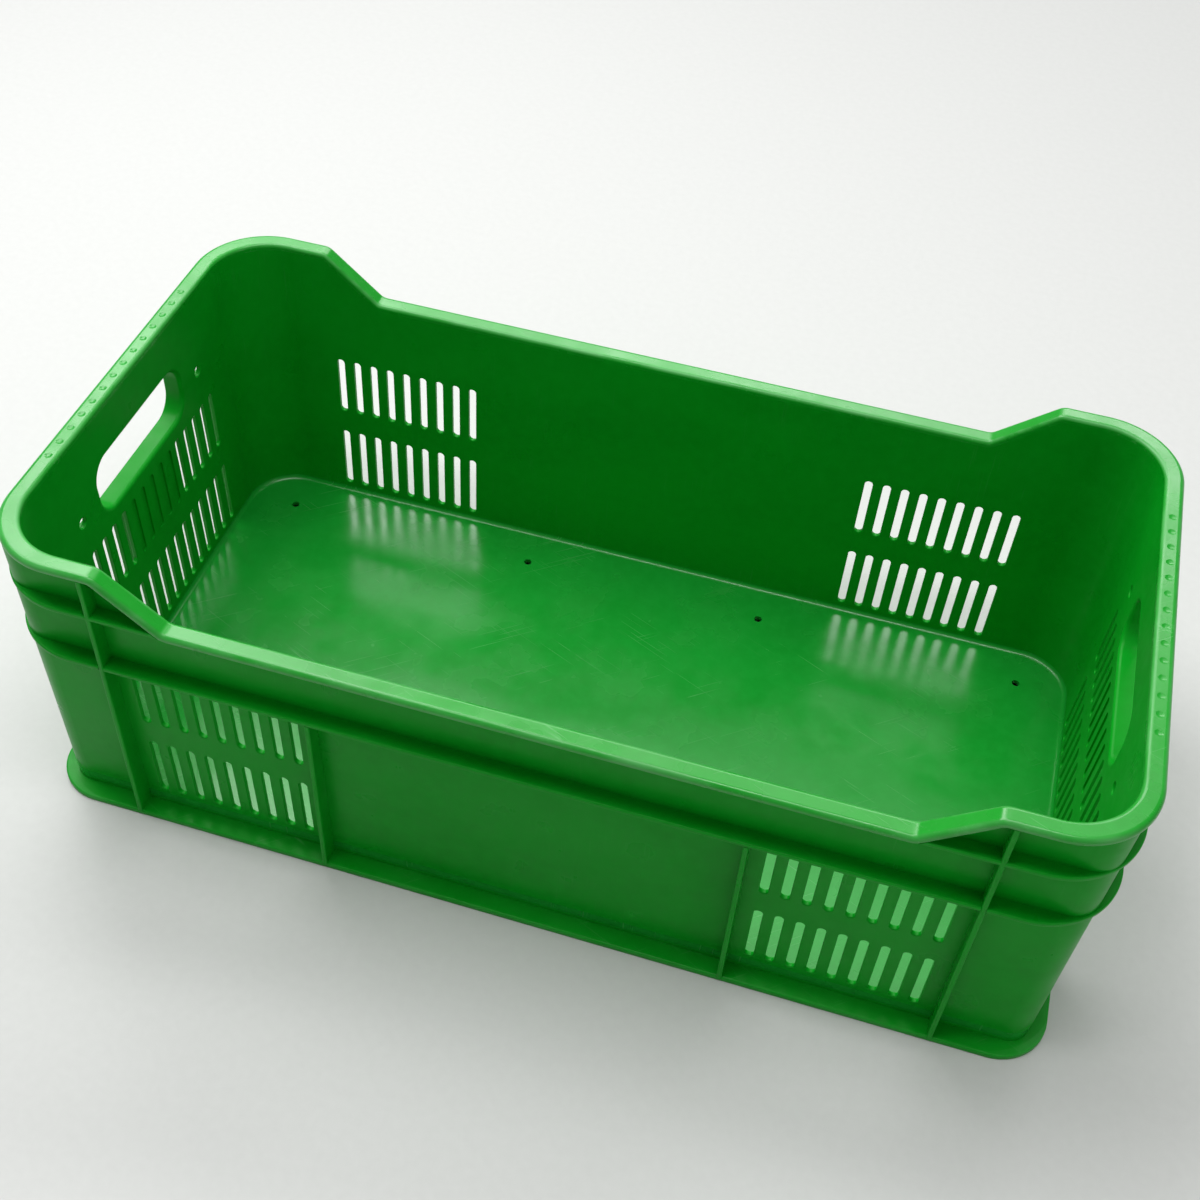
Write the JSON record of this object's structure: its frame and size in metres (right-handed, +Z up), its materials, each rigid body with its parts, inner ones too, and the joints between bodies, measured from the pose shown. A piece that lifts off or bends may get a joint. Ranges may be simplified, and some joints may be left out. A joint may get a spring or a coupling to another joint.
{
  "type": "stacking plastic crate",
  "caption": "Long open stacking crate in green plastic with slotted walls, a rim that dips along both sides, outside ribs and a hand hole in each end.",
  "frame": {"origin": "centre of the footprint, on the surface that the crate stands on", "axes": "+Z up, +X along the length, +Y to the rear long side; the crate is the same front to rear and left to right"},
  "size_m": [0.6, 0.308, 0.205],
  "materials": {
    "green_polyethylene": "semi-gloss"
  },
  "bodies": {
    "root": {"base_skirt": "green_polyethylene", "floor_edge": "green_polyethylene", "floor_panel": "green_polyethylene", "floor_ribs": "green_polyethylene", "front_centre_panel": "green_polyethylene", "front_left_corner_wall": "green_polyethylene", "front_left_end_rib": "green_polyethylene", "front_left_lower_rib": "green_polyethylene", "front_left_panel_rib": "green_polyethylene", "front_left_post_rib": "green_polyethylene", "front_left_rim_corner": "green_polyethylene", "front_left_rim_slope": "green_polyethylene", "front_left_slot_panel": "green_polyethylene", "front_left_upper_rib": "green_polyethylene", "front_low_rim": "green_polyethylene", "front_lower_rib": "green_polyethylene", "front_right_corner_wall": "green_polyethylene", "front_right_end_rib": "green_polyethylene", "front_right_lower_rib": "green_polyethylene", "front_right_panel_rib": "green_polyethylene", "front_right_post_rib": "green_polyethylene", "front_right_rim_corner": "green_polyethylene", "front_right_rim_slope": "green_polyethylene", "front_right_slot_panel": "green_polyethylene", "front_right_upper_rib": "green_polyethylene", "left_end_rim": "green_polyethylene", "left_end_wall": "green_polyethylene", "left_grip_frame": "green_polyethylene", "left_label_pad": "green_polyethylene", "rear_centre_panel": "green_polyethylene", "rear_left_corner_wall": "green_polyethylene", "rear_left_end_rib": "green_polyethylene", "rear_left_lower_rib": "green_polyethylene", "rear_left_panel_rib": "green_polyethylene", "rear_left_post_rib": "green_polyethylene", "rear_left_rim_corner": "green_polyethylene", "rear_left_rim_slope": "green_polyethylene", "rear_left_slot_panel": "green_polyethylene", "rear_left_upper_rib": "green_polyethylene", "rear_low_rim": "green_polyethylene", "rear_lower_rib": "green_polyethylene", "rear_right_corner_wall": "green_polyethylene", "rear_right_end_rib": "green_polyethylene", "rear_right_lower_rib": "green_polyethylene", "rear_right_panel_rib": "green_polyethylene", "rear_right_post_rib": "green_polyethylene", "rear_right_rim_corner": "green_polyethylene", "rear_right_rim_slope": "green_polyethylene", "rear_right_slot_panel": "green_polyethylene", "rear_right_upper_rib": "green_polyethylene", "right_end_rim": "green_polyethylene", "right_end_wall": "green_polyethylene", "right_grip_frame": "green_polyethylene", "right_label_pad": "green_polyethylene"}
  },
  "joints": []
}
